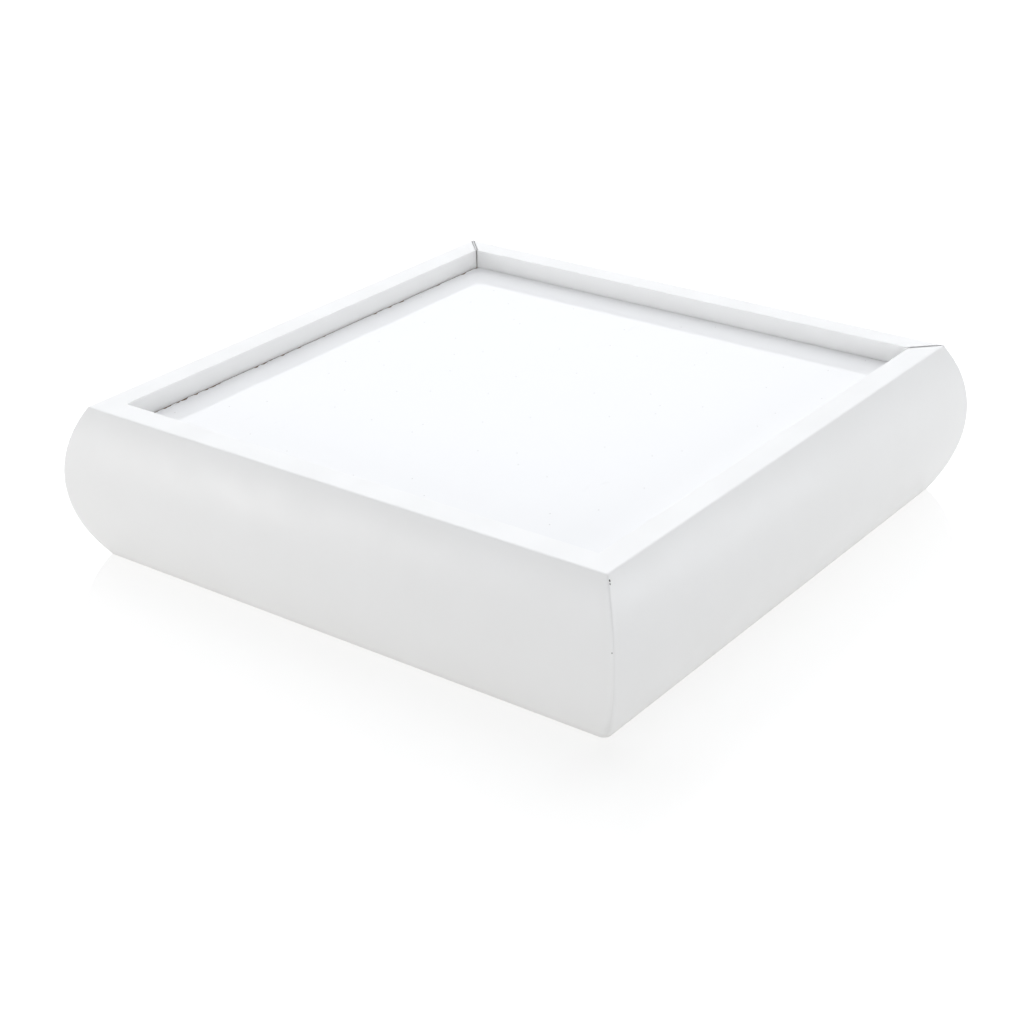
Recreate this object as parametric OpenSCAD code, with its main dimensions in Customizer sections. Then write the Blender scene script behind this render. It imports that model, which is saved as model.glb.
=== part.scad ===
// Low square display plinth: four mitred rails with rounded outer faces stand round a lift-out
// insert, which rests on ledger strips. The frame is held by biscuits, corner blocks and screws.
// Millimetres, +Z up, origin on the floor at the centre of the plinth.

/* [Overall size] */
// Width across the widest line of the rounded faces, the same both ways
plinth_w = 400; // [320:1:480]
// Height from the floor to the flat rim
plinth_h = 98; // [81:0.5:118]

/* [Rails] */
// Radius of each rail's rounded outer face
face_r = 89; // [84:0.5:130]
// Height of the widest line of the rounded face above the floor
belly_z = 50.5; // [42:0.5:61]
// Width of the flat rim on top of each rail
rim_w = 16.3; // [13:0.1:24]
// Chamfer that eases the rim's edges and the lower edges of a rail
edge_ease = 0.6; // [0.2:0.1:1.2]
// Glue line between two mitred ends
mitre_gap = 0.2; // [0.1:0.05:0.4]

/* [Insert] */
// Depth of the display recess, from the rim down to the gloss face
recess_d = 12.4; // [8:0.1:18]
// Thickness of the gloss face sheet
sheet_t = 1; // [0.8:0.1:2]
// Thickness of the insert's board
board_t = 9; // [6:0.5:12]
// Thickness of the backing sheet
backing_t = 0.8; // [0.6:0.1:1.2]
// Gap beside the insert at the left and front rails
open_gap = 1; // [0.6:0.1:2]
// Gap beside the insert at the back and right rails
tight_gap = 0.4; // [0.3:0.1:0.8]

/* [Ledgers] */
// Width of a ledger strip, out from the rail's inner wall
ledger_w = 14; // [11:0.5:18]
// Height of a ledger strip
ledger_h = 18; // [14:0.5:22]
// Distance from the middle ledger screw to the one on each side
ledger_screw_pitch = 110; // [70:1:120]

/* [Corner blocks and post] */
// Width of a corner block, the same both ways
block_w = 30; // [26:0.5:40]
// Chamfer on a block's inner corner
block_chamfer = 8; // [4:0.5:9]
// Distance from the rails' inner walls to a block's level screws
block_screw_in = 17; // [15:0.5:18]
// Height between a block's two level screws
block_screw_rise = 12; // [10:0.5:16]
// Width of the centre post, the same both ways
post_w = 38; // [32:0.5:50]

/* [Base board] */
// Thickness of the base board
base_t = 6; // [4:0.5:8]
// Height of the base board's underside above the floor
base_lift = 2; // [1:0.5:4]
// Gap round the base board
base_gap = 0.5; // [0.3:0.1:1]
// Distance from the rails' inner walls to the corner screws of the base board
base_screw_in = 8; // [7:0.5:9]
// Distance from the plinth's centre to each of the two post screws
post_screw_out = 10; // [7:0.5:11]

/* [Screws and biscuits] */
// Diameter of a screw's shank
screw_d = 4; // [3:0.5:4.5]
// Diameter of a countersunk screw head
screw_head_d = 7.4; // [6:0.1:8.5]
// Depth of a countersunk screw head
screw_head_h = 2.4; // [1.8:0.1:3]
// Length of a ledger screw
ledger_screw_l = 30; // [25:1:34]
// Length of a corner block screw
block_screw_l = 45; // [40:1:52]
// Length of a base board screw
base_screw_l = 25; // [20:1:30]
// Width of a biscuit, across the mitre
biscuit_w = 12; // [10:0.5:14]
// Thickness of a biscuit
biscuit_t = 3; // [2.5:0.5:4]
// Height from the widest line to the biscuit above it and to the one below it
biscuit_rise = 15; // [10:0.5:18]
// Wood left at each end of a biscuit's slot
biscuit_shoulder = 1.6; // [1.2:0.1:3]

/* [Hidden] */
// Clearance round a screw in its hole
screw_clear = 0.1;
// Glue film between two glued faces
glue_film = 0.1;
// Clearance between two ledger ends
ledger_end_gap = 0.3;
// Clearance round a biscuit in its slot
biscuit_clear = 0.15;
// Length of a screw's point
screw_point = 5;
// Fall of an outer edge's chamfer for each millimetre that it runs outwards
ease_slope = 0.5;
// How far a cutting solid runs past the face that it cuts
over = 1;

// The plan's four sides, each a quarter turn on from the front
front = 0;
right = 90;
back = 180;
left = 270;
sides = [front, right, back, left];

// Half the width across the plinth at a height z on the rounded faces
function outer_half(z) = plinth_w / 2 - face_r + sqrt(pow(face_r, 2) - pow(z - belly_z, 2));

top_half = outer_half(plinth_h);
inner_half = top_half - rim_w;

insert_t = sheet_t + board_t + backing_t;
insert_top = plinth_h - recess_d;
insert_bottom = insert_top - insert_t;
insert_w = 2 * inner_half - open_gap - tight_gap;
insert_shift = (open_gap - tight_gap) / 2;

ledger_top = insert_bottom;
ledger_z = ledger_top - ledger_h / 2;
base_top = base_lift + base_t;
block_top = ledger_top - ledger_h;
block_z = (base_top + block_top) / 2;
screw_r = screw_d / 2;
biscuit_levels = [belly_z - biscuit_rise, belly_z + biscuit_rise];

$fn = 48;

paint = [0.94, 0.94, 0.93];
gloss = [0.98, 0.98, 0.98];
fibreboard = [0.62, 0.47, 0.33];
pine = [0.86, 0.72, 0.52];
beech = [0.8, 0.6, 0.42];
zinc = [0.75, 0.76, 0.78];

// Countersunk screw: its flat head at the origin, its point along -Z
module screw(length) {
    rotate_extrude()
        polygon([
            [0, 0],
            [screw_head_d / 2, 0],
            [screw_r, -screw_head_h],
            [screw_r, -length + screw_point],
            [0, -length]
        ]);
}

// Hole for that screw, with its countersink open above the face
module screw_hole(length) {
    hole_r = screw_r + screw_clear;
    head_r = screw_head_d / 2 + screw_clear;
    translate([0, 0, -length - screw_clear])
        cylinder(h = length + over, r = hole_r);
    translate([0, 0, -screw_head_h])
        cylinder(h = screw_head_h, r1 = hole_r, r2 = head_r);
    cylinder(h = over, r = head_r);
}

// Places of the ledger screws on the front side: heads on the ledger's inner face, points forward
module at_front_ledger_screws() {
    for (along = [-ledger_screw_pitch, 0, ledger_screw_pitch])
        translate([along, -inner_half + glue_film + ledger_w, ledger_z])
            rotate([-90, 0, 0])
                children();
}

// Places of the two level screws of the front right block: the upper one runs forward into the
// front rail and the lower one runs into the right rail
module at_block_screws() {
    screw_line = inner_half - block_screw_in;
    head_face = inner_half - glue_film - block_w;
    translate([screw_line, -head_face, block_z + block_screw_rise / 2])
        rotate([-90, 0, 0])
            children();
    translate([head_face, -screw_line, block_z - block_screw_rise / 2])
        rotate([0, -90, 0])
            children();
}

// Places of the base board's screws: one in each corner block and two in the centre post
module at_base_screws() {
    corner = inner_half - base_screw_in;
    for (side = sides)
        rotate([0, 0, side])
            translate([corner, -corner, base_lift])
                rotate([180, 0, 0])
                    children();
    for (out = [-post_screw_out, post_screw_out])
        translate([out, 0, base_lift])
            rotate([180, 0, 0])
                children();
}

// Length of a biscuit at a height z, from the mitre face's own length there
function biscuit_l(z) = sqrt(2) * (outer_half(z) - inner_half) - 2 * biscuit_shoulder;

// Flat lens of two arcs, as long and as wide as given
module lens(length, width) {
    arc_r = (pow(length, 2) + pow(width, 2)) / (4 * width);
    intersection() {
        translate([0, arc_r - width / 2])
            circle(r = arc_r, $fn = 96);
        translate([0, width / 2 - arc_r])
            circle(r = arc_r, $fn = 96);
    }
}

// The two biscuits across the front right mitre, grown by a clearance
module corner_biscuits(grow) {
    for (z = biscuit_levels)
        rotate([0, 0, -45])
            translate([(outer_half(z) + inner_half) / sqrt(2), 0, z - biscuit_t / 2 - grow])
                linear_extrude(biscuit_t + 2 * grow)
                    lens(biscuit_l(z) + 2 * grow, biscuit_w + 2 * grow);
}

// Section of a rail, drawn with the plinth's centre line at 0 and the outer face towards -X
module rail_section() {
    low_half = outer_half(0);
    intersection() {
        translate([-(plinth_w / 2 - face_r), belly_z])
            circle(r = face_r, $fn = 192);
        polygon([
            [-inner_half, edge_ease],
            [-inner_half, plinth_h - edge_ease],
            [-inner_half - edge_ease, plinth_h],
            [-top_half + edge_ease, plinth_h],
            [-plinth_w / 2 - over, plinth_h - ease_slope * (plinth_w / 2 + over - top_half + edge_ease)],
            [-plinth_w / 2 - over, ease_slope * (plinth_w / 2 + over - low_half + edge_ease)],
            [-low_half + edge_ease, 0],
            [-inner_half - edge_ease, 0]
        ]);
    }
}

// One rail in the front position, before it is turned to its own side
module front_rail_blank() {
    mitre_back = mitre_gap / sqrt(2);
    difference() {
        intersection() {
            rotate([90, 0, 90])
                linear_extrude(plinth_w, center = true)
                    rail_section();
            linear_extrude(plinth_h)
                polygon([
                    [0, -mitre_back],
                    [plinth_w, -plinth_w - mitre_back],
                    [-plinth_w, -plinth_w - mitre_back]
                ]);
        }
        corner_biscuits(biscuit_clear);
        rotate([0, 0, -90])
            corner_biscuits(biscuit_clear);
        at_front_ledger_screws()
            screw_hole(ledger_screw_l);
        at_block_screws()
            screw_hole(block_screw_l);
        rotate([0, 0, -90])
            at_block_screws()
                screw_hole(block_screw_l);
    }
}

module rail(side) {
    color(paint)
        rotate([0, 0, side])
            front_rail_blank();
}

// One square layer of the insert, between two heights
module insert_layer(bottom, thickness) {
    translate([insert_shift - insert_w / 2, insert_shift - insert_w / 2, bottom])
        cube([insert_w, insert_w, thickness]);
}

module gloss_face() {
    color(gloss)
        insert_layer(insert_top - sheet_t, sheet_t);
}

module insert_board() {
    color(fibreboard)
        insert_layer(insert_bottom + backing_t, board_t);
}

module backing_sheet() {
    color(gloss)
        insert_layer(insert_bottom, backing_t);
}

// A ledger strip on one side; the front and back ones run the full width between the rails
module ledger(side) {
    full = side == front || side == back;
    half_l = inner_half - (full ? glue_film : glue_film + ledger_w + ledger_end_gap);
    color(pine)
        rotate([0, 0, side])
            difference() {
                translate([-half_l, -inner_half + glue_film, ledger_top - ledger_h])
                    cube([2 * half_l, ledger_w, ledger_h]);
                at_front_ledger_screws()
                    screw_hole(ledger_screw_l);
            }
}

module ledger_screws() {
    color(zinc)
        for (side = sides)
            rotate([0, 0, side])
                at_front_ledger_screws()
                    screw(ledger_screw_l);
}

// A corner block, named for the corner at the end of the given side
module corner_block(side) {
    outer = inner_half - glue_film;
    inner = outer - block_w;
    color(pine)
        rotate([0, 0, side])
            difference() {
                translate([0, 0, base_top])
                    linear_extrude(block_top - base_top)
                        polygon([
                            [inner, -outer],
                            [outer, -outer],
                            [outer, -inner],
                            [inner + block_chamfer, -inner],
                            [inner, -inner - block_chamfer]
                        ]);
                at_block_screws()
                    screw_hole(block_screw_l);
                at_base_screws()
                    screw_hole(base_screw_l);
            }
}

module block_screws() {
    color(zinc)
        for (side = sides)
            rotate([0, 0, side])
                at_block_screws()
                    screw(block_screw_l);
}

module mitre_biscuits() {
    color(beech)
        for (side = sides)
            rotate([0, 0, side])
                corner_biscuits(0);
}

module centre_post() {
    color(pine)
        difference() {
            translate([-post_w / 2, -post_w / 2, base_top])
                cube([post_w, post_w, insert_bottom - base_top]);
            at_base_screws()
                screw_hole(base_screw_l);
        }
}

module base_board() {
    half = inner_half - base_gap;
    color(fibreboard)
        difference() {
            translate([-half, -half, base_lift])
                cube([2 * half, 2 * half, base_t]);
            at_base_screws()
                screw_hole(base_screw_l);
        }
}

module base_screws() {
    color(zinc)
        at_base_screws()
            screw(base_screw_l);
}

rail(front);  // front_rail
rail(right);  // right_rail
rail(back);  // back_rail
rail(left);  // left_rail
gloss_face();
insert_board();
backing_sheet();
ledger(front);  // front_ledger
ledger(right);  // right_ledger
ledger(back);  // back_ledger
ledger(left);  // left_ledger
ledger_screws();
corner_block(front);  // front_right_block
corner_block(right);  // back_right_block
corner_block(back);  // back_left_block
corner_block(left);  // front_left_block
block_screws();
mitre_biscuits();
centre_post();
base_board();
base_screws();
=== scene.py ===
import math
import random

import bmesh
import bpy
from mathutils import Matrix, Vector


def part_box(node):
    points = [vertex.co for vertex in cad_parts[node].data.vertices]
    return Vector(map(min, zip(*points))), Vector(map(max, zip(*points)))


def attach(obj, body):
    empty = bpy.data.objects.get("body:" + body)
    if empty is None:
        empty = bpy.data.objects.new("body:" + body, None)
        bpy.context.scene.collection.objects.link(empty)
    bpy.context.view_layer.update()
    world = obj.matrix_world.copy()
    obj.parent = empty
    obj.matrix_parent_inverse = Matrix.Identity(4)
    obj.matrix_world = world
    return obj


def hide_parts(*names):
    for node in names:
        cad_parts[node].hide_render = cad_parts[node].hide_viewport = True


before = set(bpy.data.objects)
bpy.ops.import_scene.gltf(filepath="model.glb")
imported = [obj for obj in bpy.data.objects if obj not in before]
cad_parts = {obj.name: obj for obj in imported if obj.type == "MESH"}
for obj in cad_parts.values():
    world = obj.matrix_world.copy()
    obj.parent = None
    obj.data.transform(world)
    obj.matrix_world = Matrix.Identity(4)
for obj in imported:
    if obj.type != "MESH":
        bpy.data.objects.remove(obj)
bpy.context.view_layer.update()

# ---- Side rails ------------------------------------------------------------------------------
# Four lengths of fibreboard, planed to a full belly on the outside and mitred at both ends.
# They are glued up, filled at the mitres, sanded and sprayed satin white. The foot and the inner
# wall below the loose top stay bare, apart from what the spray gun threw on them.

mm = 0.001
rail_foot, rail_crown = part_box("front_rail")
rail_half = -rail_foot.y
rail_height = rail_crown.z
inner_wall = -rail_crown.y
belly_radius = 89 * mm
belly_height = 50.5 * mm
belly_steps = 56
crown_ease = 0.85 * mm
lip_ease = 0.6 * mm
foot_ease = 1.2 * mm
paint_edge = 85.0 * mm
touching = 0.02 * mm
merge_reach = 0.004 * mm

# the outer corners: cuts that carry the rounding, its radius at the crown and what the foot adds,
# and how deep under the face and over the inner wall it reaches
tip_loops = (0.7 * mm, 1.3 * mm, 2.2 * mm, 3.3 * mm, 4.6 * mm)
tip_radius = 1.1
tip_radius_gain = 3.4
tip_skin = 1.6 * mm
tip_back = 3 * mm

PAINT, SEAM, BARE, KNOCK_DARK = 0, 1, 2, 3

# how wide the mitre is eased on the rim and down the face, where 0 means filled flush,
# and how much of that depth the filler has left open on the rim
mitre_open = {
    "front": (0, 0.05 * mm),
    "left": (0, 0.05 * mm),
    "right": (0.95 * mm, 0.12 * mm),
    "back": (1.0 * mm, 0.12 * mm),
}
filler_sinks = 0.30

# name, quarter turns from the front, corner at the low end, corner at the high end
rail_places = (
    ("front_rail", 0, "left", "front"),
    ("right_rail", 1, "front", "right"),
    ("back_rail", 2, "right", "back"),
    ("left_rail", 3, "back", "left"),
)

# corner knocks: rail, which end, height, how big, and where on the corner they sit
knock_along = 1.3 * mm
knock_sunk = 0.1 * mm
knock_cuts = (-1.2, -0.8, -0.4, 0, 0.4, 0.8, 1.2)
knock_reach = 3 * mm
rail_knocks = (
    ("right_rail", -1, 95.0 * mm, 0.68 * mm),
    ("right_rail", -1, 93.7 * mm, 0.50 * mm),
    ("front_rail", 1, 63.0 * mm, 0.35 * mm),
    ("left_rail", -1, 30.0 * mm, 0.80 * mm),
)


def put(tree, kind, sockets=None, **settings):
    made = tree.nodes.new("ShaderNode" + kind)
    for name, value in settings.items():
        setattr(made, name, value)
    for name, value in (sockets or {}).items():
        if isinstance(value, bpy.types.NodeSocket):
            tree.links.new(value, made.inputs[name])
        else:
            made.inputs[name].default_value = value
    return made


def mix(tree, how_much, first, second):
    made = tree.nodes.new("ShaderNodeMix")
    made.data_type = "RGBA"
    for socket, value in ((made.inputs[0], how_much), (made.inputs[6], first), (made.inputs[7], second)):
        if isinstance(value, bpy.types.NodeSocket):
            tree.links.new(value, socket)
        else:
            socket.default_value = value
    return made.outputs[2]


def ramp(tree, value, low, high, to_low=0.0, to_high=1.0):
    made = put(tree, "MapRange", {"Value": value}, interpolation_type="SMOOTHSTEP")
    made.inputs["From Min"].default_value = low
    made.inputs["From Max"].default_value = high
    made.inputs["To Min"].default_value = to_low
    made.inputs["To Max"].default_value = to_high
    return made.outputs["Result"]


def times(tree, value, factor):
    made = put(tree, "Math", operation="MULTIPLY")
    for socket, part in zip(made.inputs, (value, factor)):
        if isinstance(part, bpy.types.NodeSocket):
            tree.links.new(part, socket)
        else:
            socket.default_value = part
    return made.outputs[0]


def from_middle(tree, place):
    """How far a spot lies from the upright axis, measured square: the larger of its X and Y."""
    spread = put(tree, "VectorMath", {0: place}, operation="ABSOLUTE")
    sides = put(tree, "SeparateXYZ", {"Vector": spread.outputs[0]})
    widest = put(tree, "Math", {0: sides.outputs["X"], 1: sides.outputs["Y"]}, operation="MAXIMUM")
    return widest.outputs[0]


def new_group(name, inputs, outputs):
    tree = bpy.data.node_groups.new(name, "ShaderNodeTree")
    for label, kind, value in inputs:
        socket = tree.interface.new_socket(label, in_out="INPUT", socket_type="NodeSocket" + kind)
        if value is not None:
            socket.default_value = value
    for label, kind in outputs:
        tree.interface.new_socket(label, in_out="OUTPUT", socket_type="NodeSocket" + kind)
    start = tree.nodes.new("NodeGroupInput")
    end = tree.nodes.new("NodeGroupOutput")
    return tree, start, end


def use_group(tree, group, sockets):
    made = tree.nodes.new("ShaderNodeGroup")
    made.node_tree = group
    for name, value in sockets.items():
        if isinstance(value, bpy.types.NodeSocket):
            tree.links.new(value, made.inputs[name])
        else:
            made.inputs[name].default_value = value
    return made


def new_material(name, **shader):
    material = bpy.data.materials.new(name)
    material.use_nodes = True
    tree = material.node_tree
    surface = tree.nodes["Principled BSDF"]
    for label, value in shader.items():
        surface.inputs[label.replace("_", " ")].default_value = value
    place = put(tree, "TexCoord").outputs["Object"]
    return material, tree, surface, place


def raise_surface(tree, surface, height, depth, strength=1.0):
    bump = put(tree, "Bump", {"Height": height, "Distance": depth, "Strength": strength})
    tree.links.new(bump.outputs["Normal"], surface.inputs["Normal"])


# sprayed lacquer: the skin's fine ripple, dust nibs under it, and slow drifts in tone and sheen
sprayed_coat, coat_in, coat_out = new_group(
    "sprayed_coat",
    (("Place", "Vector", None), ("Ripple", "Float", 380.0), ("Nibs", "Float", 0.5)),
    (("Height", "Float"), ("Tone", "Float"), ("Sheen", "Float")),
)
coat_place = coat_in.outputs["Place"]
ripple = put(
    sprayed_coat, "TexNoise", {"Vector": coat_place, "Scale": coat_in.outputs["Ripple"], "Detail": 2.0}
)
nib_cells = put(sprayed_coat, "TexVoronoi", {"Vector": coat_place, "Scale": 95.0})
nib_tips = ramp(sprayed_coat, nib_cells.outputs["Distance"], 0.0, 0.05, 1.0, 0.0)
nibs = times(sprayed_coat, nib_tips, coat_in.outputs["Nibs"])
coat_height = put(sprayed_coat, "Math", operation="ADD")
sprayed_coat.links.new(ripple.outputs["Fac"], coat_height.inputs[0])
sprayed_coat.links.new(nibs, coat_height.inputs[1])
drift = put(sprayed_coat, "TexNoise", {"Vector": coat_place, "Scale": 11.0, "Detail": 4.0, "Roughness": 0.6})
sheen = put(sprayed_coat, "TexNoise", {"Vector": coat_place, "Scale": 46.0, "Detail": 3.0})
sprayed_coat.links.new(coat_height.outputs[0], coat_out.inputs["Height"])
sprayed_coat.links.new(ramp(sprayed_coat, drift.outputs["Fac"], 0.3, 0.7), coat_out.inputs["Tone"])
sprayed_coat.links.new(ramp(sprayed_coat, sheen.outputs["Fac"], 0.3, 0.7), coat_out.inputs["Sheen"])

# pressed wood fibre: a felt of short fibres, darker flecks and a soft cloudiness
pressed_fibre, fibre_in, fibre_out = new_group(
    "pressed_fibre",
    (("Place", "Vector", None), ("Fineness", "Float", 900.0)),
    (("Cloud", "Float"), ("Fleck", "Float"), ("Height", "Float")),
)
fibre_place = fibre_in.outputs["Place"]
felt = put(
    pressed_fibre,
    "TexNoise",
    {"Vector": fibre_place, "Scale": fibre_in.outputs["Fineness"], "Detail": 5.0, "Distortion": 1.2},
)
fleck_noise = put(
    pressed_fibre, "TexNoise", {"Vector": fibre_place, "Scale": 520.0, "Detail": 3.0, "Distortion": 2.5}
)
cloud = put(pressed_fibre, "TexNoise", {"Vector": fibre_place, "Scale": 26.0, "Detail": 5.0})
pressed_fibre.links.new(ramp(pressed_fibre, cloud.outputs["Fac"], 0.3, 0.7), fibre_out.inputs["Cloud"])
flecks = ramp(pressed_fibre, fleck_noise.outputs["Fac"], 0.58, 0.72)
pressed_fibre.links.new(flecks, fibre_out.inputs["Fleck"])
pressed_fibre.links.new(felt.outputs["Fac"], fibre_out.inputs["Height"])

# a lighter white, painted light on the inner walls of the recess
recess_painted_light = (0.915, 0.914, 0.908, 1)
white_coat = (0.856, 0.856, 0.854, 1)
old_coat = (0.822, 0.820, 0.812, 1)
# a warm grey that darkens the coat towards the foot
foot_grey = (0.74, 0.73, 0.715, 1)
bare_light = (0.50, 0.345, 0.215, 1)
bare_dark = (0.36, 0.235, 0.135, 1)
bare_fleck = (0.19, 0.115, 0.06, 1)

rail_paint, tree, surface, place = new_material("rail_paint", IOR=1.48)
coat = use_group(tree, sprayed_coat, {"Place": place, "Ripple": 360.0, "Nibs": 0.35})
where = put(tree, "SeparateXYZ", {"Vector": place})
# the coat is mixed towards the warm grey over the lowest 7 mm, darker towards the foot
foot_darkening = ramp(tree, where.outputs["Z"], 0.0, 7 * mm, 0.55, 0.0)
toned = mix(tree, times(tree, coat.outputs["Tone"], 0.35), white_coat, old_coat)
# painted light: the inner walls and the edge of the lip take the lighter white, so the recess reads lighter
# than its lighting makes it
recess_light_mask = ramp(tree, from_middle(tree, place), inner_wall + 0.2 * mm, inner_wall + 0.8 * mm, 1.0, 0.0)
toned = mix(tree, recess_light_mask, toned, recess_painted_light)
tree.links.new(mix(tree, foot_darkening, toned, foot_grey), surface.inputs["Base Color"])
tree.links.new(ramp(tree, coat.outputs["Sheen"], 0.0, 1.0, 0.36, 0.44), surface.inputs["Roughness"])
raise_surface(tree, surface, coat.outputs["Height"], 0.06 * mm, 0.55)

seam_light = (0.81, 0.806, 0.795, 1)
seam_dark = (0.73, 0.722, 0.705, 1)
seam_paint, tree, surface, place = new_material("seam_paint", IOR=1.48)
coat = use_group(tree, sprayed_coat, {"Place": place, "Ripple": 900.0, "Nibs": 1.0})
tree.links.new(mix(tree, coat.outputs["Tone"], seam_light, seam_dark), surface.inputs["Base Color"])
tree.links.new(ramp(tree, coat.outputs["Sheen"], 0.0, 1.0, 0.5, 0.65), surface.inputs["Roughness"])
raise_surface(tree, surface, coat.outputs["Height"], 0.12 * mm, 0.6)


def bare_board(name, thrown):
    """Fibreboard with overspray; thrown(tree, place) gives how much paint lies on each spot."""
    material, tree, surface, place = new_material(name, IOR=1.4)
    fibre = use_group(tree, pressed_fibre, {"Place": place, "Fineness": 950.0})
    brown = mix(tree, times(tree, fibre.outputs["Cloud"], 0.4), bare_light, bare_dark)
    brown = mix(tree, times(tree, fibre.outputs["Fleck"], 0.75), brown, bare_fleck)
    spatter = put(tree, "TexNoise", {"Vector": place, "Scale": 640.0, "Detail": 4.0, "Roughness": 0.7})
    grains = put(tree, "Math", operation="ADD")
    tree.links.new(spatter.outputs["Fac"], grains.inputs[0])
    tree.links.new(thrown(tree, place), grains.inputs[1])
    cover = ramp(tree, grains.outputs[0], 0.95, 1.25)
    tree.links.new(mix(tree, cover, brown, old_coat), surface.inputs["Base Color"])
    tree.links.new(ramp(tree, cover, 0.0, 1.0, 0.82, 0.6), surface.inputs["Roughness"])
    raise_surface(tree, surface, fibre.outputs["Height"], 0.10 * mm, 0.6)
    return material


def thrown_down_the_wall(tree, place):
    where = put(tree, "SeparateXYZ", {"Vector": place})
    down = ramp(tree, where.outputs["Z"], 62 * mm, paint_edge, 0.0, 0.40)
    under = ramp(tree, where.outputs["Z"], 0.5 * mm, 3 * mm, 1.0, 0.0)
    rim = ramp(tree, from_middle(tree, place), 173 * mm, 186 * mm, 0.1, 0.85)
    both = put(tree, "Math", {0: times(tree, under, rim), 1: down}, operation="MAXIMUM")
    return both.outputs[0]


rail_bare = bare_board("rail_bare", thrown_down_the_wall)

# the chips are coloured near black, darker than the bare board
knock_brown_black = (0.085, 0.072, 0.062, 1)
knock_black = (0.045, 0.038, 0.033, 1)
knock_near_black, tree, surface, place = new_material("knock_near_black", IOR=1.4)
fibre = use_group(tree, pressed_fibre, {"Place": place, "Fineness": 950.0})
tree.links.new(mix(tree, fibre.outputs["Cloud"], knock_brown_black, knock_black), surface.inputs["Base Color"])
tree.links.new(ramp(tree, fibre.outputs["Fleck"], 0.0, 1.0, 0.85, 0.95), surface.inputs["Roughness"])
raise_surface(tree, surface, fibre.outputs["Height"], 0.10 * mm, 0.6)


def stand_in(name, shape, materials, body, nodes, sharp=35):
    """Turns a finished bmesh into a piece that rides with a body in place of its CAD nodes."""
    shape.normal_update()
    mesh = bpy.data.meshes.new(name)
    shape.to_mesh(mesh)
    shape.free()
    mesh.shade_smooth()
    mesh.set_sharp_from_angle(angle=math.radians(sharp))
    for material in materials:
        mesh.materials.append(material)
    piece = bpy.data.objects.new(name, mesh)
    bpy.context.scene.collection.objects.link(piece)
    even = piece.modifiers.new("even_shading", "WEIGHTED_NORMAL")
    even.keep_sharp = True
    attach(piece, body)
    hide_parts(*nodes)
    return piece


def cut(shape, point, outward, clear=False):
    geometry = shape.verts[:] + shape.edges[:] + shape.faces[:]
    made = bmesh.ops.bisect_plane(
        shape, geom=geometry, dist=1e-7, plane_co=point, plane_no=outward, clear_outer=clear
    )
    return [item for item in made["geom_cut"] if isinstance(item, bmesh.types.BMEdge)]


def with_edges(faces):
    """The faces with their edges and corners, each once, in an order that no run changes."""
    edges = dict.fromkeys(edge for face in faces for edge in face.edges)
    corners = dict.fromkeys(vert for face in faces for vert in face.verts)
    return [*faces, *edges, *corners]


def rail_bar():
    """The planed section, run out along X past both mitres."""
    shape = bmesh.new()
    centre = Vector((-rail_half, belly_radius - rail_half, belly_height))
    crown_turn = math.asin((rail_height - belly_height) / belly_radius)
    foot_turn = math.asin(belly_height / belly_radius)
    crown = shape.verts.new(
        (centre.x, centre.y - belly_radius * math.cos(crown_turn), rail_height)
    )
    belly = bmesh.ops.spin(
        shape, geom=[crown], cent=centre, axis=(1, 0, 0), angle=crown_turn + foot_turn, steps=belly_steps
    )
    foot = next(item for item in belly["geom_last"] if isinstance(item, bmesh.types.BMVert))
    heel = shape.verts.new((centre.x, -inner_wall, 0))
    paint_stop = shape.verts.new((centre.x, -inner_wall, paint_edge))
    lip = shape.verts.new((centre.x, -inner_wall, rail_height))
    for ends in ((foot, heel), (heel, paint_stop), (paint_stop, lip), (lip, crown)):
        shape.edges.new(ends)
    bmesh.ops.edgeloop_fill(shape, edges=shape.edges[:])
    for corner, ease in ((crown, crown_ease), (foot, foot_ease), (lip, lip_ease), (heel, lip_ease)):
        bmesh.ops.bevel(
            shape, geom=[corner], offset=ease, offset_type="OFFSET", affect="VERTICES",
            segments=4, profile=0.5, material=-1,
        )
    run = bmesh.ops.extrude_face_region(shape, geom=shape.faces[:])
    far_end = [item for item in run["geom"] if isinstance(item, bmesh.types.BMVert)]
    bmesh.ops.translate(shape, verts=far_end, vec=(2 * rail_half, 0, 0))
    bmesh.ops.recalc_face_normals(shape, faces=shape.faces[:])
    return shape


def off_mitre(point):
    return -point.y - abs(point.x)


def round_tips(shape):
    """Sanding rounds the outer corner, hardly at the crown and more towards the foot."""
    for vert in shape.verts:
        if vert.co.y > -inner_wall - tip_back:
            continue
        along = off_mitre(vert.co)
        lower = 1 - vert.co.z / rail_height
        radius = (tip_radius + tip_radius_gain * lower * lower) * mm
        height = min(max(vert.co.z - belly_height, -belly_height), rail_height - belly_height)
        face = rail_half - belly_radius + math.sqrt(belly_radius**2 - height**2)
        if along > radius or -vert.co.y < face - tip_skin:
            continue
        # the loops are gathered from the sharp tip back to the point halfway round the curve
        halfway = radius * (1 - math.sqrt(0.5))
        eased = halfway + along * (1 - halfway / radius)
        vert.co.x -= math.copysign(eased - along, vert.co.x)
        vert.co.y += radius - math.sqrt(radius**2 - (radius - eased) ** 2)


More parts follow.
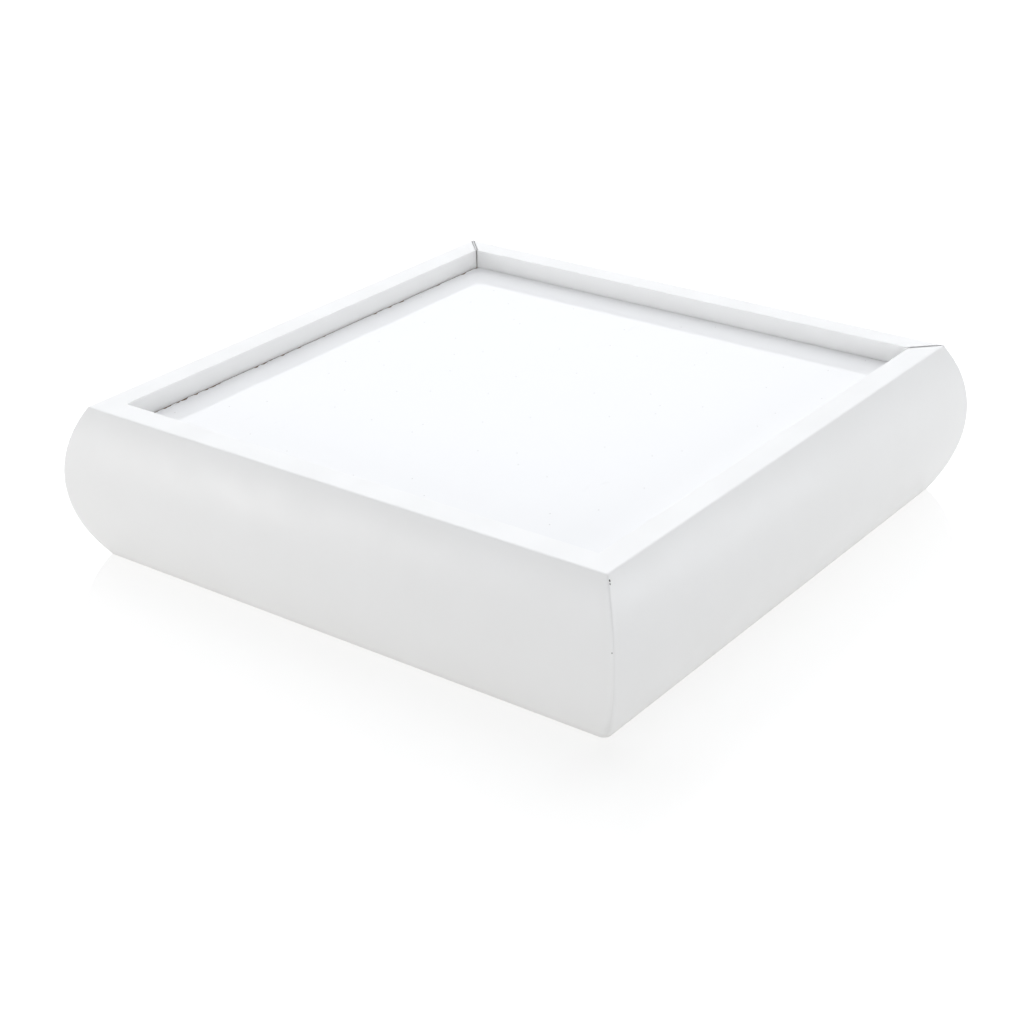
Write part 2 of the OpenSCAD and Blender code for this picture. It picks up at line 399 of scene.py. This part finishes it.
def knock(shape, spot, size):
    """A small chip: the skin there is cut finer and pushed in unevenly, and is coloured near black."""
    side = math.copysign(1, spot.x)
    for part in knock_cuts:
        for direction in (Vector((0, 0, 1)), Vector((side, 1, 0))):
            near = []
            for face in shape.faces:
                if min((vert.co - spot).length for vert in face.verts) < knock_reach:
                    if face.normal.z < 0.8 and face.calc_center_median().y < -inner_wall:
                        near.append(face)
            bmesh.ops.bisect_plane(
                shape, geom=with_edges(near), dist=1e-6,
                plane_co=spot + direction * part * size, plane_no=direction,
            )
    inward = Vector((-side, 1, 0)).normalized()
    ragged = random.Random(round(spot.z * 1e5))
    # each draw goes to a point by where it lies, so a chip is the same in every run
    hit = [vert for vert in shape.verts if (vert.co - spot).length < size]
    hit.sort(key=lambda vert: (round(vert.co.z, 5), round(vert.co.y, 5), round(vert.co.x, 5)))
    for vert in hit:
        reach = (vert.co - spot).length / size
        vert.co += inward * size * ragged.uniform(0.25, 0.7) * (1 - reach * reach)
    for face in shape.faces:
        if (face.calc_center_median() - spot).length < 0.8 * size:
            face.material_index = KNOCK_DARK


crown_foot = rail_height - crown_ease * 1.1
outside_starts = 5 * mm
crease = math.radians(20)
for node, turns, low_corner, high_corner in rail_places:
    shape = rail_bar()
    for side in (-1, 1):
        for along in tip_loops:
            cut(shape, (0, -along, 0), (side, 1, 0))
        mitre = cut(shape, (0, 0, 0), (side, 1, 0), clear=True)
        bmesh.ops.edgeloop_fill(shape, edges=mitre)
    bmesh.ops.recalc_face_normals(shape, faces=shape.faces[:])
    round_tips(shape)
    shape.normal_update()
    for face in shape.faces:
        middle = face.calc_center_median()
        on_mitre = all(off_mitre(vert.co) < touching for vert in face.verts)
        on_wall = face.normal.y > 0.9 and middle.z < paint_edge
        under = face.normal.z < -0.9
        face.material_index = BARE if on_mitre or on_wall or under else PAINT
    for side, corner in ((-1, low_corner), (1, high_corner)):
        rim_open, face_open = mitre_open[corner]
        for width, on_rim in ((rim_open, True), (face_open, False)):
            if not width:
                continue
            edges = []
            for edge in shape.edges:
                middle = (edge.verts[0].co + edge.verts[1].co) / 2
                if middle.x * side < 0 or any(off_mitre(vert.co) > touching for vert in edge.verts):
                    continue
                if len(edge.link_faces) != 2 or edge.calc_face_angle() < crease:
                    continue
                flat_top = middle.z > crown_foot
                down_inside = middle.y > -inner_wall - lip_ease and middle.z > paint_edge
                down_outside = foot_ease < middle.z < crown_foot and middle.y < -inner_wall - outside_starts
                if (flat_top or down_inside) if on_rim else down_outside:
                    edges.append(edge)
            eased = bmesh.ops.bevel(
                shape, geom=edges, offset=width, offset_type="OFFSET", affect="EDGES",
                segments=1 if on_rim else 2, profile=0.5, material=-1,
            )
            sunk = {vert for face in eased["faces"] for vert in face.verts if on_rim}
            for vert in sunk:
                if vert.co.z > rail_height - width - touching and vert.co.y < -inner_wall - lip_ease:
                    vert.co.z += (1 - filler_sinks) * max(rail_height - touching - vert.co.z, 0)
            shape.normal_update()
            for face in eased["faces"]:
                face.material_index = PAINT if face.normal.z > 0.5 else SEAM
    for rail, side, height, size in rail_knocks:
        if rail == node:
            face = rail_half - belly_radius + math.sqrt(belly_radius**2 - (height - belly_height) ** 2)
            knock(shape, Vector((side * (face - knock_along), knock_sunk - face, height)), size)
    bmesh.ops.dissolve_degenerate(shape, dist=merge_reach, edges=shape.edges[:])
    bmesh.ops.remove_doubles(shape, verts=shape.verts[:], dist=merge_reach)
    bmesh.ops.recalc_face_normals(shape, faces=shape.faces[:])
    bmesh.ops.rotate(
        shape, verts=shape.verts[:], cent=(0, 0, 0), matrix=Matrix.Rotation(turns * math.pi / 2, 3, "Z")
    )
    finishes = (rail_paint, seam_paint, rail_bare, knock_near_black)
    stand_in(node + "_sprayed", shape, finishes, "frame", (node,))

# ---- Mitre biscuits --------------------------------------------------------------------------
# Two pressed beech ovals cross each mitre, glued into slots cut in the ends of the rails.
# They keep the corners in line while the glue sets, and nothing shows once it is closed.

timber_grain, grain_in, grain_out = new_group(
    "timber_grain",
    (("Place", "Vector", None), ("Rings", "Float", 110.0)),
    (("Ring", "Float"), ("Pore", "Float"), ("Height", "Float")),
)
wander = put(timber_grain, "Mapping", {"Vector": grain_in.outputs["Place"], "Scale": (0.25, 1.0, 1.0)})
sway = put(timber_grain, "TexNoise", {"Vector": wander.outputs[0], "Scale": 24.0, "Detail": 2.0})
swayed = put(timber_grain, "VectorMath", operation="MULTIPLY_ADD")
timber_grain.links.new(sway.outputs["Color"], swayed.inputs[0])
swayed.inputs[1].default_value = (0.0, 0.006, 0.006)
timber_grain.links.new(wander.outputs[0], swayed.inputs[2])
rings = put(
    timber_grain,
    "TexWave",
    {"Vector": swayed.outputs[0], "Scale": grain_in.outputs["Rings"], "Distortion": 0.8, "Detail": 2.0},
    wave_type="RINGS",
    rings_direction="X",
)
drawn_out = put(timber_grain, "Mapping", {"Vector": grain_in.outputs["Place"], "Scale": (0.03, 1.0, 1.0)})
pores = put(timber_grain, "TexNoise", {"Vector": drawn_out.outputs[0], "Scale": 1500.0, "Detail": 3.0})
fibres = put(timber_grain, "TexNoise", {"Vector": drawn_out.outputs[0], "Scale": 620.0, "Detail": 4.0})
timber_grain.links.new(ramp(timber_grain, rings.outputs["Fac"], 0.25, 0.95), grain_out.inputs["Ring"])
timber_grain.links.new(ramp(timber_grain, pores.outputs["Fac"], 0.58, 0.7), grain_out.inputs["Pore"])
timber_grain.links.new(fibres.outputs["Fac"], grain_out.inputs["Height"])


def timber(name, turn, offset, rings, early, late, pore):
    """Timber whose grain runs along X, turned to run along the piece, with its heart off to one side."""
    material, tree, surface, place = new_material(name, IOR=1.45)
    along = put(tree, "Mapping", {"Vector": place, "Rotation": turn, "Location": offset})
    grain = use_group(tree, timber_grain, {"Place": along.outputs[0], "Rings": rings})
    ringed = mix(tree, grain.outputs["Ring"], early, late)
    pored = mix(tree, times(tree, grain.outputs["Pore"], 0.5), ringed, pore)
    tree.links.new(pored, surface.inputs["Base Color"])
    tree.links.new(ramp(tree, grain.outputs["Ring"], 0.0, 1.0, 0.72, 0.55), surface.inputs["Roughness"])
    raise_surface(tree, surface, grain.outputs["Height"], 0.12 * mm, 0.5)
    return material


quarter = math.pi / 2
beech = timber(
    "beech", (0, 0, 0), (0.2, 0.3, 0.11), 60.0,
    (0.62, 0.41, 0.27, 1), (0.52, 0.33, 0.20, 1), (0.33, 0.19, 0.11, 1),
)
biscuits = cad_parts["mitre_biscuits"]
biscuits.data.materials.clear()
biscuits.data.materials.append(beech)

# ---- Ledgers ---------------------------------------------------------------------------------
# Four planed pine strips, glued and screwed round the inside, carry the loose top.
# The front and back strips run the full width and the side strips are cut in between them.
# Each is held by three screws, driven outwards into the rail.


def eased_copy(node, ease, shortest=6 * mm, segments=3):
    """The CAD solid with its loose triangles joined and its long arrises taken off."""
    shape = bmesh.new()
    shape.from_mesh(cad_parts[node].data)
    bmesh.ops.remove_doubles(shape, verts=shape.verts[:], dist=0.002 * mm)
    bmesh.ops.recalc_face_normals(shape, faces=shape.faces[:])
    bmesh.ops.dissolve_limit(
        shape, angle_limit=math.radians(1), use_dissolve_boundaries=False,
        verts=shape.verts[:], edges=shape.edges[:],
    )
    creased = [
        edge for edge in shape.edges
        if len(edge.link_faces) == 2 and edge.calc_face_angle() > math.radians(30)
    ]
    arrises = [edge for edge in creased if edge.calc_length() > shortest]
    bmesh.ops.bevel(
        shape, geom=arrises, offset=ease, offset_type="OFFSET", affect="EDGES",
        segments=segments, profile=0.5, material=-1,
    )
    return shape


pine_early = (0.76, 0.575, 0.36, 1)
pine_late = (0.60, 0.385, 0.19, 1)
pine_pore = (0.44, 0.27, 0.13, 1)
pine_x = timber("pine_lengthways", (0, 0, 0), (0, 0.21, -0.02), 85.0, pine_early, pine_late, pine_pore)
pine_y = timber("pine_crossways", (0, 0, quarter), (0, 0.19, -0.03), 95.0, pine_early, pine_late, pine_pore)

for node, wood in (
    ("front_ledger", pine_x),
    ("back_ledger", pine_x),
    ("right_ledger", pine_y),
    ("left_ledger", pine_y),
):
    stand_in(node + "_planed", eased_copy(node, 0.7 * mm), (wood,), "frame", (node,))

# ---- Ledger screws ---------------------------------------------------------------------------
# Countersunk wood screws in bright zinc, with a cross recess, a plain neck and a coarse rolled
# thread. Three go through each ledger. The other screws in the plinth are longer or shorter ones.

screw_neck = 1.55 * mm
thread_crest = 1.98 * mm
thread_pitch = 1.8 * mm
screw_head_radius = 3.65 * mm
screw_head_depth = 2.4 * mm
screw_tip = 5 * mm
recess_reach = 1.9 * mm
recess_width = 0.42 * mm
recess_depth = 1.5 * mm
recess_taper = 0.45
thread_half = 0.42 * mm
thread_root = screw_neck - 0.1 * mm
thread_steps = 14


def wood_screw(length):
    """One screw with the middle of its head at the origin, pointing down."""
    shape = bmesh.new()
    bmesh.ops.create_circle(shape, cap_ends=True, radius=screw_head_radius, segments=28)
    rim = shape.edges[:]
    for depth, radius in (
        (0.25 * mm, screw_head_radius),
        (screw_head_depth, screw_neck),
        (length - screw_tip, screw_neck),
        (length - 0.3 * mm, 0.25 * mm),
    ):
        grown = bmesh.ops.extrude_edge_only(shape, edges=rim)["geom"]
        ring = [item for item in grown if isinstance(item, bmesh.types.BMVert)]
        now = ring[0].co.xy.length
        bmesh.ops.scale(shape, verts=ring, vec=(radius / now, radius / now, 1))
        bmesh.ops.translate(shape, verts=ring, vec=(0, 0, -depth - ring[0].co.z))
        rim = [item for item in grown if isinstance(item, bmesh.types.BMEdge)]
        rim = [edge for edge in rim if abs(edge.verts[0].co.z - edge.verts[1].co.z) < 1e-7]
    bmesh.ops.pointmerge(shape, verts=ring, merge_co=(0, 0, -length))
    for outward in (Vector((1, 0, 0)), Vector((0, 1, 0))):
        for reach in (-recess_width, -recess_reach, recess_width, recess_reach):
            tops = [face for face in shape.faces if all(abs(vert.co.z) < 1e-7 for vert in face.verts)]
            bmesh.ops.bisect_plane(
                shape, geom=with_edges(tops), dist=1e-7, plane_co=outward * reach, plane_no=outward
            )
    cross = []
    for face in shape.faces:
        middle = face.calc_center_median()
        if abs(middle.z) > 1e-7:
            continue
        near, far = sorted((abs(middle.x), abs(middle.y)))
        if near < recess_width and far < recess_reach:
            cross.append(face)
    sunk = bmesh.ops.extrude_face_region(shape, geom=cross)["geom"]
    bmesh.ops.delete(shape, geom=cross, context="FACES_ONLY")
    floor_of_cross = [item for item in sunk if isinstance(item, bmesh.types.BMVert)]
    bmesh.ops.scale(shape, verts=floor_of_cross, vec=(recess_taper, recess_taper, 1))
    bmesh.ops.translate(shape, verts=floor_of_cross, vec=(0, 0, -recess_depth))
    bmesh.ops.recalc_face_normals(shape, faces=shape.faces[:])

    thread_top = -(screw_head_depth + 0.18 * length)
    thread_foot = -(length - screw_tip)
    turns = (thread_top - thread_foot) / thread_pitch
    tooth = [
        shape.verts.new((thread_root, 0, thread_top + thread_half)),
        shape.verts.new((thread_crest, 0, thread_top)),
        shape.verts.new((thread_root, 0, thread_top - thread_half)),
    ]
    first = shape.faces.new(tooth)
    steps = round(turns * thread_steps)
    sink = (thread_foot - thread_top) / steps
    bmesh.ops.spin(
        shape, geom=[first], cent=(0, 0, 0), axis=(0, 0, 1), dvec=(0, 0, sink),
        angle=turns * 2 * math.pi, steps=steps,
    )
    bmesh.ops.recalc_face_normals(shape, faces=shape.faces[:])
    return shape


def screw_set(node, length, places):
    """All the screws of one kind; each place is the middle of the head and the way it points."""
    pattern = wood_screw(length)
    master = bpy.data.meshes.new("screw_pattern")
    pattern.to_mesh(master)
    pattern.free()
    shape = bmesh.new()
    spins = random.Random(length * 1000)
    for spot, way in places:
        old = set(shape.verts)
        shape.from_mesh(master)
        added = [vert for vert in shape.verts if vert not in old]
        twist = Matrix.Rotation(spins.uniform(0, 2 * math.pi), 4, "Z")
        aim = Vector((0, 0, -1)).rotation_difference(Vector(way)).to_matrix().to_4x4()
        bmesh.ops.transform(shape, matrix=Matrix.Translation(spot) @ aim @ twist, verts=added)
    bpy.data.meshes.remove(master)
    stand_in(node + "_threaded", shape, (zinc,), "frame", (node,), sharp=40)


zinc, tree, surface, place = new_material("zinc", Metallic=1.0)
crystals = put(tree, "TexVoronoi", {"Vector": place, "Scale": 1400.0})
rubbed = put(tree, "TexNoise", {"Vector": place, "Scale": 300.0, "Detail": 4.0})
bright_zinc = (0.60, 0.62, 0.65, 1)
dull_zinc = (0.46, 0.48, 0.50, 1)
tree.links.new(mix(tree, crystals.outputs["Distance"], bright_zinc, dull_zinc), surface.inputs["Base Color"])
tree.links.new(ramp(tree, rubbed.outputs["Fac"], 0.3, 0.7, 0.24, 0.42), surface.inputs["Roughness"])
raise_surface(tree, surface, rubbed.outputs["Fac"], 0.03 * mm, 0.5)

ledger_screw_length = 30 * mm
ledger_screw_pitch = 110 * mm
screws_low, screws_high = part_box("ledger_screws")
ledger_level = (screws_low.z + screws_high.z) / 2
ledger_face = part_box("front_ledger")[1].y
ledger_places = []
for turns in range(4):
    quarter_turn = Matrix.Rotation(turns * quarter, 3, "Z")
    for along in (-ledger_screw_pitch, 0, ledger_screw_pitch):
        spot = quarter_turn @ Vector((along, ledger_face, ledger_level))
        ledger_places.append((spot, quarter_turn @ Vector((0, -1, 0))))
screw_set("ledger_screws", ledger_screw_length, ledger_places)

# ---- Corner blocks ---------------------------------------------------------------------------
# A square pine block stands in each corner under the ledgers, its inner arris sawn off.
# It is glued and held by two screws at different heights, one into each rail, so they pass clear.

pine_z = timber("pine_upright", (0, quarter, 0), (0, 0.14, 0.09), 80.0, pine_early, pine_late, pine_pore)

for corner in ("front_right", "back_right", "back_left", "front_left"):
    node = corner + "_block"
    stand_in(node + "_planed", eased_copy(node, 0.8 * mm), (pine_z,), "frame", (node,))

block_foot, block_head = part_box("front_right_block")
block_middle = (block_foot.z + block_head.z) / 2
block_screw_in = 17 * mm
block_screw_rise = 6 * mm
block_screw_length = 45 * mm
side = inner_wall - block_screw_in
face = block_foot.x
block_places = []
for turns in range(4):
    quarter_turn = Matrix.Rotation(turns * quarter, 3, "Z")
    upper = quarter_turn @ Vector((side, -face, block_middle + block_screw_rise))
    lower = quarter_turn @ Vector((face, -side, block_middle - block_screw_rise))
    block_places.append((upper, quarter_turn @ Vector((0, -1, 0))))
    block_places.append((lower, quarter_turn @ Vector((1, 0, 0))))
screw_set("block_screws", block_screw_length, block_places)

# ---- Centre post -----------------------------------------------------------------------------
# A short square pine post stands in the middle, screwed up through the base board.
# It stops the loose top from sagging under a heavy exhibit.

post = eased_copy("centre_post", 1.0 * mm)
stand_in("centre_post_planed", post, (pine_z,), "frame", ("centre_post",))

# ---- Base board ------------------------------------------------------------------------------
# A square of thin fibreboard closes the underside, dropped in between the rails a little above
# the floor. Six screws hold it, four into the corner blocks and two into the post.


def thrown_round_the_rim(tree, place):
    return ramp(tree, from_middle(tree, place), 158 * mm, 171 * mm, 0.0, 0.5)


base_bare = bare_board("base_bare", thrown_round_the_rim)
board = eased_copy("base_board", 0.4 * mm)
stand_in("base_board_cut", board, (base_bare,), "frame", ("base_board",))

base_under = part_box("base_board")[0].z
base_screw_in = 8 * mm
post_screw_out = 10 * mm
base_screw_length = 25 * mm
far = inner_wall - base_screw_in
base_spots = [(x, y) for x in (-far, far) for y in (-far, far)]
base_spots += [(-post_screw_out, 0), (post_screw_out, 0)]
base_places = [(Vector((x, y, base_under)), (0, 0, 1)) for x, y in base_spots]
screw_set("base_screws", base_screw_length, base_places)

# ---- Loose top: board and backing ------------------------------------------------------------
# The top lifts out. Its body is a square of fibreboard, sawn to drop in with a little play.
# A thin matt sheet glued underneath keeps the board from bowing.

core, tree, surface, place = new_material("insert_core", IOR=1.4)
fibre = use_group(tree, pressed_fibre, {"Place": place, "Fineness": 1100.0})
saw = put(
    tree, "TexWave", {"Vector": place, "Scale": 160.0, "Distortion": 3.0, "Detail": 2.0},
    bands_direction="DIAGONAL",
)
brown = mix(tree, fibre.outputs["Cloud"], (0.47, 0.33, 0.20, 1), (0.39, 0.26, 0.155, 1))
brown = mix(tree, times(tree, fibre.outputs["Fleck"], 0.7), brown, bare_fleck)
brown = mix(tree, times(tree, saw.outputs["Fac"], 0.25), brown, bare_dark)
tree.links.new(brown, surface.inputs["Base Color"])
tree.links.new(ramp(tree, fibre.outputs["Cloud"], 0.0, 1.0, 0.78, 0.88), surface.inputs["Roughness"])
raise_surface(tree, surface, saw.outputs["Fac"], 0.08 * mm, 0.4)
board = eased_copy("insert_board", 0.25 * mm, segments=2)
stand_in("insert_board_sawn", board, (core,), "insert", ("insert_board",))

backing_light = (0.66, 0.66, 0.65, 1)
backing_dark = (0.60, 0.595, 0.58, 1)
backing, tree, surface, place = new_material("backing", IOR=1.46)
coat = use_group(tree, sprayed_coat, {"Place": place, "Ripple": 1500.0, "Nibs": 0.0})
tree.links.new(mix(tree, coat.outputs["Tone"], backing_light, backing_dark), surface.inputs["Base Color"])
tree.links.new(ramp(tree, coat.outputs["Sheen"], 0.0, 1.0, 0.55, 0.7), surface.inputs["Roughness"])
raise_surface(tree, surface, coat.outputs["Height"], 0.05 * mm, 0.8)
under_sheet = eased_copy("backing_sheet", 0.15 * mm, segments=2)
stand_in("backing_sheet_pressed", under_sheet, (backing,), "insert", ("backing_sheet",))

# ---- Loose top: gloss face -------------------------------------------------------------------
# A sheet of white gloss laminate is bonded over the board and trimmed flush with it.
# Lifting the top in and out has chipped its left and front edges and left hairline scratches.

sheet_ease = 0.22 * mm
chip_steps = 150
chip_depth = 0.7 * mm
worst_stretch = 0.22
sheet_low, sheet_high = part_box("gloss_face")

gloss, tree, surface, place = new_material("gloss_sheet", IOR=1.23)
coat = use_group(tree, sprayed_coat, {"Place": place, "Ripple": 30.0, "Nibs": 0.0})
stretched = put(tree, "Mapping", {"Vector": place, "Rotation": (0, 0, 0.7), "Scale": (1.0, 0.02, 1.0)})
hairs = put(tree, "TexVoronoi", {"Vector": stretched.outputs[0], "Scale": 210.0}, feature="DISTANCE_TO_EDGE")
patches = put(tree, "TexNoise", {"Vector": place, "Scale": 17.0, "Detail": 3.0})
scratch = times(
    tree,
    ramp(tree, hairs.outputs["Distance"], 0.0, 0.012, 1.0, 0.0),
    ramp(tree, patches.outputs["Fac"], 0.60, 0.70),
)
grit = put(tree, "TexVoronoi", {"Vector": place, "Scale": 26.0}, voronoi_dimensions="2D")
specks = ramp(tree, grit.outputs["Distance"], 0.0, 0.016, 1.0, 0.0)
sheet_white = (0.886, 0.888, 0.895, 1)
sheet_yellowed = (0.874, 0.876, 0.882, 1)
scratch_grey = (0.70, 0.70, 0.70, 1)
speck_grey = (0.42, 0.41, 0.40, 1)
toned = mix(tree, times(tree, coat.outputs["Tone"], 0.3), sheet_white, sheet_yellowed)
toned = mix(tree, times(tree, scratch, 0.25), toned, scratch_grey)
tree.links.new(mix(tree, times(tree, specks, 0.75), toned, speck_grey), surface.inputs["Base Color"])
tree.links.new(ramp(tree, scratch, 0.0, 1.0, 0.05, 0.30), surface.inputs["Roughness"])
raise_surface(tree, surface, coat.outputs["Height"], 0.02 * mm, 0.25)

shape = eased_copy("gloss_face", sheet_ease, shortest=50 * mm, segments=2)
wear = random.Random(7)
for axis in (0, 1):
    edge_line = sheet_low[axis]
    beside = [
        edge for edge in shape.edges if all(vert.co[axis] < edge_line + 2 * sheet_ease for vert in edge.verts)
    ]
    long_edges = [edge for edge in beside if edge.calc_length() > 100 * mm]
    bmesh.ops.subdivide_edges(shape, edges=long_edges, cuts=chip_steps, use_grid_fill=True)
    bites = {}
    for step in range(chip_steps + 2):
        bites[step] = wear.uniform(0.0, 0.15)
        if wear.random() < (0.45 if step < worst_stretch * chip_steps else 0.14):
            bites[step] += wear.uniform(0.3, 1.3)
    other = 1 - axis
    span = sheet_high[other] - sheet_low[other]
    for vert in shape.verts:
        top_side = vert.co.z > sheet_high.z - chip_depth
        if top_side and vert.co[axis] < edge_line + 1.2 * sheet_ease:
            step = round((vert.co[other] - sheet_low[other]) / span * (chip_steps + 1))
            if 0 < step < chip_steps + 1:
                vert.co[axis] += bites[step] * mm
                vert.co.z -= 0.2 * bites[step] * mm
bmesh.ops.recalc_face_normals(shape, faces=shape.faces[:])
stand_in("gloss_face_trimmed", shape, (gloss,), "insert", ("gloss_face",))

# ---- Studio ----------------------------------------------------------------------------------
# The plinth stands on a wide sheet of polished white in a surround that looks plain white. The
# surround lights it from a low band in front and a glow high behind, and a soft lamp stands low
# on either side.

floor_radius = 25
shade_ends = 215 * mm
lit_fully = 420 * mm
floor_darker = (0.25, 0.25, 0.25, 1)
floor_lighter = (0.27, 0.27, 0.27, 1)
floor_painted_shade = (0.725, 0.725, 0.722, 1)
floor_lit = (0.87, 0.87, 0.87, 1)
floor_bounce = (0.37, 0.365, 0.352, 1)
lamp_height = 0.11
lamp_width = 0.2
lamp_aim = Vector((0, 0, 0.05))

sheet = bmesh.new()
bmesh.ops.create_circle(sheet, cap_ends=True, radius=floor_radius, segments=96)
floor_mesh = bpy.data.meshes.new("floor")
sheet.to_mesh(floor_mesh)
sheet.free()
floor = bpy.data.objects.new("floor", floor_mesh)
bpy.context.scene.collection.objects.link(floor)
# the floor glows, though it is no lamp
floor_white, tree, surface, place = new_material(
    "floor_white", IOR=1.55, Roughness=0.035, Emission_Strength=1.0
)
cast = put(tree, "TexNoise", {"Vector": place, "Scale": 3.0, "Detail": 2.0})
tree.links.new(
    mix(tree, cast.outputs["Fac"], floor_darker, floor_lighter),
    surface.inputs["Base Color"],
)
# painted shadow: seen straight on, the floor's glow is painted darker out to 215 mm from the middle, measured
# square, and reaches full at 420 mm; bounced light sees a fixed dimmer glow
lit = ramp(tree, from_middle(tree, place), shade_ends, lit_fully)
painted_floor_glow = mix(tree, lit, floor_painted_shade, floor_lit)
bounced = put(tree, "LightPath").outputs["Is Diffuse Ray"]
tree.links.new(mix(tree, bounced, painted_floor_glow, floor_bounce), surface.inputs["Emission Color"])
clear = put(tree, "BsdfTransparent")
seen_from = put(tree, "NewGeometry")
two_faced = put(tree, "MixShader")
tree.links.new(seen_from.outputs["Backfacing"], two_faced.inputs[0])
tree.links.new(surface.outputs[0], two_faced.inputs[1])
tree.links.new(clear.outputs[0], two_faced.inputs[2])
tree.links.new(two_faced.outputs[0], tree.nodes["Material Output"].inputs["Surface"])
floor_mesh.materials.append(floor_white)

camera_azimuth = math.radians(37.257)
camera_elevation = math.radians(26.049)
camera_roll = math.radians(-1.15)
camera_distance = 1.2777
camera_target = Vector((-0.01533, 0.00229, 0))
away = Vector((-math.sin(camera_azimuth), math.cos(camera_azimuth), 0))

overall_glow = 0.28
low_band_glow = 2.05
rear_glow_peak = 2.62
seen_white = 1.05
surround = bpy.data.worlds.new("surround")
bpy.context.scene.world = surround
surround.use_nodes = True
tree = surround.node_tree
back = tree.nodes["Background"]
way = put(tree, "TexCoord").outputs["Generated"]
up = put(tree, "SeparateXYZ", {"Vector": way}).outputs["Z"]
behind = put(tree, "VectorMath", {0: way, 1: away}, operation="DOT_PRODUCT").outputs["Value"]
in_front = ramp(tree, behind, -0.3, 0.4, low_band_glow, 0.0)
low_band = times(tree, ramp(tree, up, 0.18, 0.45, 1.0, 0.0), in_front)
rear_aim = (away * 0.695 + Vector((0, 0, 0.72))).normalized()
rear = put(tree, "VectorMath", {0: way, 1: rear_aim}, operation="DOT_PRODUCT").outputs["Value"]
in_the_rear = ramp(tree, rear, 0.68, 0.95, 0.0, rear_glow_peak)
rear_glow = times(tree, in_the_rear, ramp(tree, up, 0.0, 0.5, 0.2, 1.0))
both = put(tree, "Math", {0: low_band, 1: rear_glow}, operation="ADD").outputs[0]
level = put(tree, "Math", {0: both, 1: overall_glow}, operation="ADD").outputs[0]
tree.links.new(level, back.inputs["Strength"])
back.inputs["Color"].default_value = (0.967, 0.980, 1.0, 1)
paper = put(tree, "Background", {"Color": (1, 1, 1, 1), "Strength": seen_white})
by_eye = put(tree, "MixShader", {0: put(tree, "LightPath").outputs["Is Camera Ray"]})
tree.links.new(back.outputs[0], by_eye.inputs[1])
tree.links.new(paper.outputs[0], by_eye.inputs[2])
tree.links.new(by_eye.outputs[0], tree.nodes["World Output"].inputs["Surface"])

for name, spot, tint, power in (
    ("warm_lamp", (-0.55, -0.80, lamp_height), (1.0, 0.97, 0.93), 0.67),
    ("cool_lamp", (0.80, 0.52, lamp_height), (0.95, 0.975, 1.0), 0.72),
):
    lamp = bpy.data.lights.new(name, "AREA")
    lamp.shape = "DISK"
    lamp.size = lamp_width
    lamp.energy = power
    lamp.color = tint
    holder = bpy.data.objects.new(name, lamp)
    bpy.context.scene.collection.objects.link(holder)
    holder.location = spot
    holder.rotation_mode = "QUATERNION"
    holder.rotation_quaternion = (lamp_aim - Vector(spot)).to_track_quat("-Z", "Y")

backward = Vector((
    math.sin(camera_azimuth) * math.cos(camera_elevation),
    -math.cos(camera_azimuth) * math.cos(camera_elevation),
    math.sin(camera_elevation),
))
rightward = (-backward).cross(Vector((0, 0, 1))).normalized()
upward = rightward.cross(-backward)
level_right = rightward * math.cos(camera_roll) + upward * math.sin(camera_roll)
level_up = upward * math.cos(camera_roll) - rightward * math.sin(camera_roll)
lens = bpy.data.cameras.new("camera")
lens.sensor_width = 36
lens.lens = 70.75
lens.clip_start = 0.05
lens.clip_end = 200
camera = bpy.data.objects.new("camera", lens)
bpy.context.scene.collection.objects.link(camera)
camera.matrix_world = (
    Matrix.Translation(camera_target + backward * camera_distance)
    @ Matrix((level_right, level_up, backward)).transposed().to_4x4()
)
bpy.context.scene.camera = camera
bpy.context.scene.view_settings.view_transform = "Standard"
